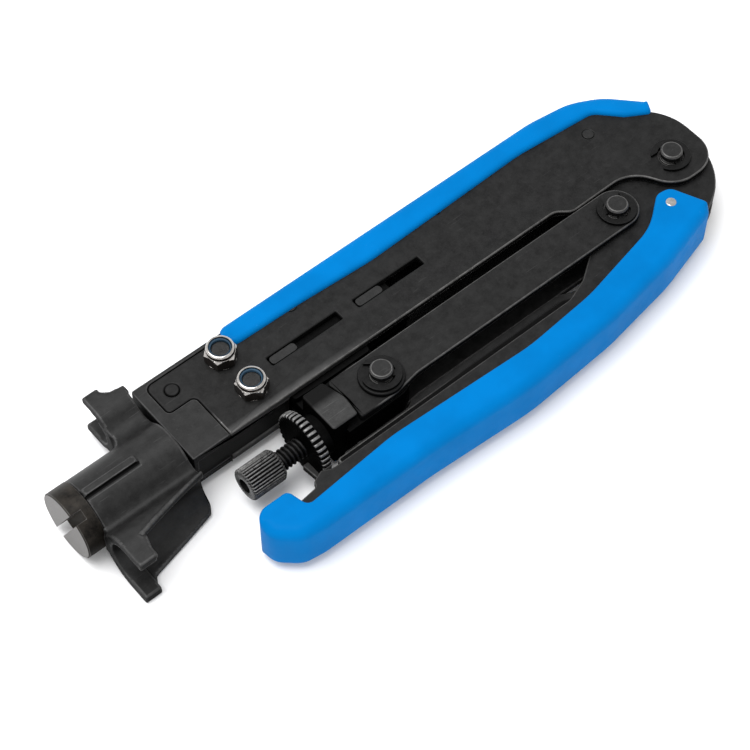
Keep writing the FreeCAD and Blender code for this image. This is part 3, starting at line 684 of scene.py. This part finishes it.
def brick(x0, x1, y0, y1, half):
    """Field of a box, half thick each side of the mid-plane."""
    along = np.maximum(x0 - X, X - x1)
    across = np.maximum(y0 - Y, Y - y1)
    return np.maximum(along, np.maximum(across, np.abs(Z) - half))


def prism(corners, z0, z1):
    """Field of an upright prism on (x, y) corners."""
    flat = np.stack([X[:, :, 0].ravel(), Y[:, :, 0].ravel()], 1)
    field = polygon_field(flat, corners).reshape(X.shape[:2])[:, :, None]
    return np.maximum(field, np.maximum(z0 - Z, Z - z1))


def gutter(x0, x1, r, y, toward):
    """Field of a round-bottomed trough along x, open toward +y (1) or -y (-1)."""
    y0, y1 = sorted((y, y + toward * 20.0))
    return np.minimum(rod(r, y, x0, x1), brick(x0, x1, y0, y1, r))


def head_solids():
    """Hub with its rib, and the two cradles on wings blended into it."""
    hub = rod(HUB_R, SWIVEL_Y, HEAD_X0, BEYOND)
    big = np.minimum(rod(BIG_R, BIG_Y, HEAD_X0 - 1.0, BEYOND),
                     brick(HEAD_X0 - 1.0, BEYOND, BIG_Y - 6.5, BIG_Y, BIG_R))
    small = np.minimum(rod(SMALL_R, SMALL_Y, SMALL_X0, BEYOND),
                       brick(SMALL_X0, BEYOND, SMALL_Y, SMALL_Y + 5.3, SMALL_R))
    big = blend(big, brick(HEAD_X0, BEYOND, BIG_Y, SWIVEL_Y, WING_HALF), 1.6)
    small = blend(small, brick(SMALL_X0, BEYOND, SWIVEL_Y, SMALL_Y, WING_HALF), 1.6)
    head = blend(blend(hub, big, 2.2), small, 2.2)
    rib = prism(((RIB_X0, RIB_Y0), (RIB_X1, RIB_Y0), (RIB_X1, RIB_Y1), (RIB_X0, RIB_Y1)), 5.0, 9.9)
    return np.minimum(head, rib)


def head_relief(head):
    """The groove beside the rib, the raised lip along the large wing and the flat rear."""
    groove = prism(((HEAD_X0, RIB_Y0 - GROOVE_WIDTH), (RIB_X1 + 0.4, RIB_Y0 - GROOVE_WIDTH),
                    (RIB_X1 + 0.4, RIB_Y0), (HEAD_X0, RIB_Y0)), 9.0, 12.0)
    head = carve(head, groove, 0.1)
    lip = prism(((-183.9, -5.3), (-159.0, 1.3), (-159.0, 2.7), (-184.3, -3.9)), 0.0, 14.0)
    head = np.minimum(head, np.maximum(head - 0.5, lip))
    return np.maximum(head, X - HEAD_X1)


def head_cuts(head):
    """The cradles' open mouths and troughs, the gap at the rear and the screw's room."""
    upper = ((-183.8, -16), (-183.8, -8.9), (-182.6, -4.8), (-160, 1.2), (BEYOND, 1.2), (BEYOND, -16))
    lower = ((-184.2, -16), (-184.2, -9.4), (-182.9, -7.2), (-161.8, -2.0), (-160, 0.6), (BEYOND, 0.6),
             (BEYOND, -16))
    small = ((-166.4, 42), (-166.4, 37.2), (-164.6, 35.8), (-160, 35), (BEYOND, 35), (BEYOND, 42))
    for corners, z0, z1 in ((upper, 0, 14), (lower, -14, 0), (small, -12, 12)):
        head = carve(head, prism(corners, z0, z1), 0.6)
    for x0, x1, radius, y, toward in ((-195, -180, 6.7, BIG_Y, -1), (-184.2, BEYOND, 7.8, BIG_Y, -1),
                                      (-195, -165, 4.9, SMALL_Y, 1), (-167.2, BEYOND, 5.8, SMALL_Y, 1)):
        head = carve(head, gutter(x0, x1, radius, y, toward), 0.5)
    gap = ((REAR_GAP_X, -2.0), (BEYOND, -2.0), (BEYOND, 32.5), (REAR_GAP_X, 32.5))
    head = carve(head, prism(gap, 2.0, 14.0), 0.1)
    head = np.maximum(head, -rod(DISC_ROOM_R, SWIVEL_Y, -200, HEAD_X0))
    return np.maximum(head, -rod(BORE_R, SWIVEL_Y, -200, -140))


def in_dark_of_head(x, y, z):
    """Faces that get painted shade: the groove beside the rib, and the rear face in its gap."""
    beside_rib = z > 8.2 and HEAD_X0 < x < RIB_X1 + 0.3 and RIB_Y0 - 0.45 < y < RIB_Y0 + 0.15
    return beside_rib or x > REAR_GAP_X - 0.1


head_shape = surface("swivel_head_shape", head_cuts(head_relief(head_solids())), (gx[0], gy[0], gz[0]), STEP)
head_piece = place("swivel_head_cast", head_shape, "swivel_head", [CAST, CAST_EDGE, PAINTED_SHADE])
light_edges(head_piece, 0.42, 1)
repaint(head_piece, 2, in_dark_of_head)
relax = head_piece.modifiers.new("relax", "SMOOTH")
relax.factor = 0.5
relax.iterations = 2

# ================================================================== head screw
DISC_FACE_X = -194.1   # in front of this is the disc's worn face
DISC_REAR_X = -188.6   # behind this are the disc's back and the neck


def screw_zone(x, y, z):
    """0 on the disc's face, 1 on its rim and back, 2 in the driver slot."""
    if x < DISC_FACE_X:
        return 0
    on_rim = math.hypot(y - SWIVEL_Y, z) > 9.3
    return 1 if on_rim or x > DISC_REAR_X else 2


screw_shape = node_bmesh("head_screw")
paint(screw_shape, screw_zone)
screw = place("head_screw_finished", finish_mesh(screw_shape, "head_screw_shape", 180.0),
              "head_screw", [WORN, DISC_SIDE, SLOT])
roll = screw.modifiers.new("rolled_edges", "BEVEL")
roll.width = 0.3 * MM
roll.segments = 3
roll.limit_method = "ANGLE"
roll.angle_limit = math.radians(40)
roll.material = 0
screw.modifiers.new("even_shading", "WEIGHTED_NORMAL")

# ================================================================== lock wheel
WHEEL_TEETH = 36
TOOTH_DEPTH = 0.95


def wheel_radius(angle, x, radius):
    """Rounded teeth on the rim only."""
    if radius < 8.8:
        return radius
    gap = fold(angle / (2 * math.pi) * WHEEL_TEETH)
    cut = max(0.0, min(1.0, (gap - 0.42) / 0.25))
    return radius - TOOTH_DEPTH * cut * cut * (3 - 2 * cut)


wheel_profile = ((-134.98, 3.05), (-134.98, 8.3), (-134.9, 9.05), (-134.6, 9.4), (-134.2, 9.48),
                 (-132.8, 9.48), (-132.4, 9.4), (-132.1, 9.05), (-132.02, 8.3), (-132.02, 6.1),
                 (-131.8, 5.95), (-128.8, 5.95), (-128.5, 5.8), (-128.5, 3.05))


def wheel_zone(x, y, z):
    """0 on the tooth crests, which carry a painted highlight; 1 elsewhere, in painted shade."""
    return 0 if math.hypot(y - PLUNGER_Y, z) > 9.0 and -134.9 < x < -132.0 else 1


wheel = lathe(wheel_profile, WHEEL_TEETH * 12, wheel_radius, closed=True)
paint(wheel, wheel_zone)
place("lock_wheel_toothed", finish_mesh(wheel, "lock_wheel_shape", 60.0),
      "lock_wheel", [CREST_WEAR_AND_HIGHLIGHT, PAINTED_SHADE])

# ============================================================== adjusting stud
PITCH = 1.25
THREAD_R = 2.93
THREAD_DEPTH = 0.6
THREAD_ROWS = 9        # rings of points in one turn of the thread
THREAD_X0, THREAD_LENGTH = -142.2, 24.4


def thread_radius(angle, x, radius):
    """A helical thread along the stud, with its two ends left plain."""
    if radius < 2.6 or x < THREAD_X0 + 0.2 or x > -118.2:
        return radius
    return radius - THREAD_DEPTH * (1 - fold(x / PITCH - angle / (2 * math.pi))) ** 1.2


def thread_zone(x, y, z):
    """0 on the crests, 1 in the roots, which get painted shade."""
    return 0 if math.hypot(y - PLUNGER_Y, z) > 2.68 else 1


thread_rings = int(THREAD_LENGTH * THREAD_ROWS / PITCH)
stud_profile = [(-142.38, 0.4), (-142.38, 2.4)]
stud_profile += [(THREAD_X0 + k * PITCH / THREAD_ROWS, THREAD_R) for k in range(thread_rings)]
stud_profile += [(-117.7, 2.4), (-117.7, 0.4)]
thread = lathe(stud_profile, 60, thread_radius, closed=False)
paint(thread, thread_zone)
place("adjusting_stud_threaded", finish_mesh(thread, "adjusting_stud_shape", 60.0),
      "adjusting_stud", [PINS, PAINTED_SHADE])

# ================================================================= plunger tip
TIP_FLUTES = 30
FLUTE_DEPTH = 0.42


def tip_radius(angle, x, radius):
    """Straight flutes round the barrel only."""
    if radius < 4.2:
        return radius
    cut = max(0.0, min(1.0, (fold(angle / (2 * math.pi) * TIP_FLUTES) - 0.35) / 0.35))
    return radius - FLUTE_DEPTH * cut


tip_profile = ((-146.0, 0.3), (-146.2, 1.85), (-152.7, 1.85), (-152.98, 2.1), (-152.98, 4.1), (-152.8, 4.4),
               (-152.5, 4.58), (-143.4, 4.58), (-143.1, 4.5), (-142.45, 3.9), (-142.42, 0.3))


def tip_zone(x, y, z):
    """0 on the flute crests and the end faces, 1 in the bore and between the crests, which get painted
    shade.
    """
    r = math.hypot(y - PLUNGER_Y, z)
    if r < 2.0:
        return 1
    return 0 if r > 4.36 or x < -152.6 or x > -143.1 else 1


tip = lathe(tip_profile, TIP_FLUTES * 10, tip_radius, closed=False)
paint(tip, tip_zone)
place("plunger_tip_fluted", finish_mesh(tip, "plunger_tip_shape", 60.0),
      "plunger_tip", [TURNED, PAINTED_SHADE])

# ======================================================================= grips
GRIP_HALF = 7.75       # half the height of the fixed grip's moulding
GRIP_OUTLINE = (       # (x, y, corner radius)
    (-133.4, 33.8, 3.0), (-131.0, 26.8, 2.2), (-110.0, 26.5, 30.0), (-86.0, 25.3, 60.0),
    (-32.0, 27.1, 60.0), (-6.2, 25.1, 5.0), (0.1, 18.4, 4.0), (6.8, 14.4, 1.2),
    (9.0, 18.6, 1.6), (0.2, 27.9, 20.0), (-8.5, 32.4, 20.0), (-22.0, 34.1, 40.0),
)
HGRIP_HALF = 8.0       # the same for the handle's grip
HGRIP_OUTLINE = (
    (-148.3, -16.7, 1.8), (-146.8, -23.1, 2.0), (-118.0, -20.8, 50.0), (-73.0, -22.7, 60.0),
    (-50.0, -20.7, 50.0), (-22.5, -14.9, 22.0), (-13.0, -7.7, 3.4), (-8.8, -8.4, 3.2),
    (-3.5, -20.2, 2.6), (-25.0, -26.2, 50.0), (-50.0, -30.2, 60.0), (-80.0, -32.2, 80.0),
    (-112.0, -30.5, 60.0), (-147.0, -30.3, 12.0), (-153.6, -29.4, 7.0), (-159.4, -24.0, 5.5),
    (-159.2, -16.7, 4.2),
)


def ease(value, low, high):
    """0 below low, 1 above high and a smooth step between."""
    t = np.clip((value - low) / (high - low), 0, 1)
    return t * t * (3 - 2 * t)


def frame_grip_height(dist, normal):
    """Round outer side, a crest a little in from the inner edge, a steep fall to the plate."""
    outer = ease(-normal[:, 1], -0.2, 0.6)
    across = outer * (7.0 - dist) + (1 - outer) * dist
    top = GRIP_HALF - 0.3 * np.clip((across - 1.6) / 5.0, 0, 1)
    fall = (GRIP_HALF - PLATE_OUT - 0.06) * quarter_round(dist, 1.6) / 1.6
    return top - outer * quarter_round(dist, 2.4) - (1 - outer) * fall


def handle_grip_height(dist, normal):
    """A flat top with a tight inner edge and a wide round along the outer side."""
    outer = ease(normal[:, 1] + 0.5 * normal[:, 0] * (normal[:, 0] > 0), -0.1, 0.6)
    return HGRIP_HALF - quarter_round(dist, 0.8 + 2.4 * outer)


place("frame_grip_moulding", pillow("frame_grip_shape", GRIP_OUTLINE, frame_grip_height),
      "frame_grip", [BLUE])
place("handle_grip_moulding", pillow("handle_grip_shape", HGRIP_OUTLINE, handle_grip_height),
      "handle_grip", [BLUE])

# ============================================================= room and camera
FLOOR_HALF = 3.0       # metres
MIDDLE = Vector((-95.0, 0.0, 10.0)) * MM
LAMP_AT = Vector((-320.0, 140.0, 920.0)) * MM
LAMP_SIZE = 0.7        # metres
LAMP_WATTS = 9.5
CAMERA_AT = Vector((-309.285, -242.571, 476.591)) * MM
CAMERA_TO = Vector((-108.979, -3.432, 15.850)) * MM
LENS, SENSOR = 104.16, 36.0   # focal length and sensor width


def aimed(name, data, location, target):
    """An object for a lamp or camera, looking from one place at another."""
    made = bpy.data.objects.new(name, data)
    made.location = location
    made.rotation_mode = "QUATERNION"
    made.rotation_quaternion = (location - target).to_track_quat("Z", "Y")
    bpy.context.scene.collection.objects.link(made)
    return made


def pale_floor():
    """White sheet with the faintest change of tone, bright enough to blend into the room."""
    sheet = Graph("pale_floor")
    tone = sheet.spread(sheet.noise(60.0, detail=3.0), 0.3, 0.7)
    sheet.link(sheet.mix(tone, (0.86, 0.86, 0.87), (0.90, 0.90, 0.90)), sheet.bsdf.inputs["Base Color"])
    sheet.set(Roughness=0.8, Specular_IOR_Level=0.1, Emission_Color=(1.0, 1.0, 1.0, 1.0),
              Emission_Strength=0.04)
    mesh = bpy.data.meshes.new("floor")
    h = FLOOR_HALF
    mesh.from_pydata([(-h, -h, 0), (h, -h, 0), (h, h, 0), (-h, h, 0)], [], [(0, 1, 2, 3)])
    mesh.materials.append(sheet.material)
    floor = bpy.data.objects.new("floor", mesh)
    bpy.context.scene.collection.objects.link(floor)


def soft_room():
    """White surroundings, a little brighter near the horizon than overhead."""
    world = bpy.data.worlds.new("soft_room")
    bpy.context.scene.world = world
    world.use_nodes = True
    sky = world.node_tree
    background = sky.nodes["Background"]
    background.inputs["Color"].default_value = (1.0, 1.0, 1.0, 1.0)
    look = sky.nodes.new("ShaderNodeTexCoord")
    split = sky.nodes.new("ShaderNodeSeparateXYZ")
    fade = sky.nodes.new("ShaderNodeMapRange")
    fade.inputs["From Min"].default_value = 0.15
    fade.inputs["From Max"].default_value = 0.75
    fade.inputs["To Min"].default_value = 1.25
    fade.inputs["To Max"].default_value = 0.85
    sky.links.new(look.outputs["Generated"], split.inputs["Vector"])
    sky.links.new(split.outputs["Z"], fade.inputs["Value"])
    sky.links.new(fade.outputs["Result"], background.inputs["Strength"])


def softbox():
    """One large lamp high above the tool."""
    light = bpy.data.lights.new("softbox_above", "AREA")
    light.shape = "RECTANGLE"
    light.size = LAMP_SIZE
    light.size_y = LAMP_SIZE
    light.energy = LAMP_WATTS
    aimed("softbox_above", light, LAMP_AT, MIDDLE)


def photo_camera():
    """Camera at the photograph's angle and distance."""
    data = bpy.data.cameras.new("camera")
    data.sensor_width = SENSOR
    data.lens = LENS
    data.clip_start = 0.01
    data.clip_end = 20.0
    bpy.context.scene.camera = aimed("camera", data, CAMERA_AT, CAMERA_TO)


pale_floor()
soft_room()
softbox()
photo_camera()
bpy.context.scene.view_settings.view_transform = "Standard"

bpy.context.view_layer.update()
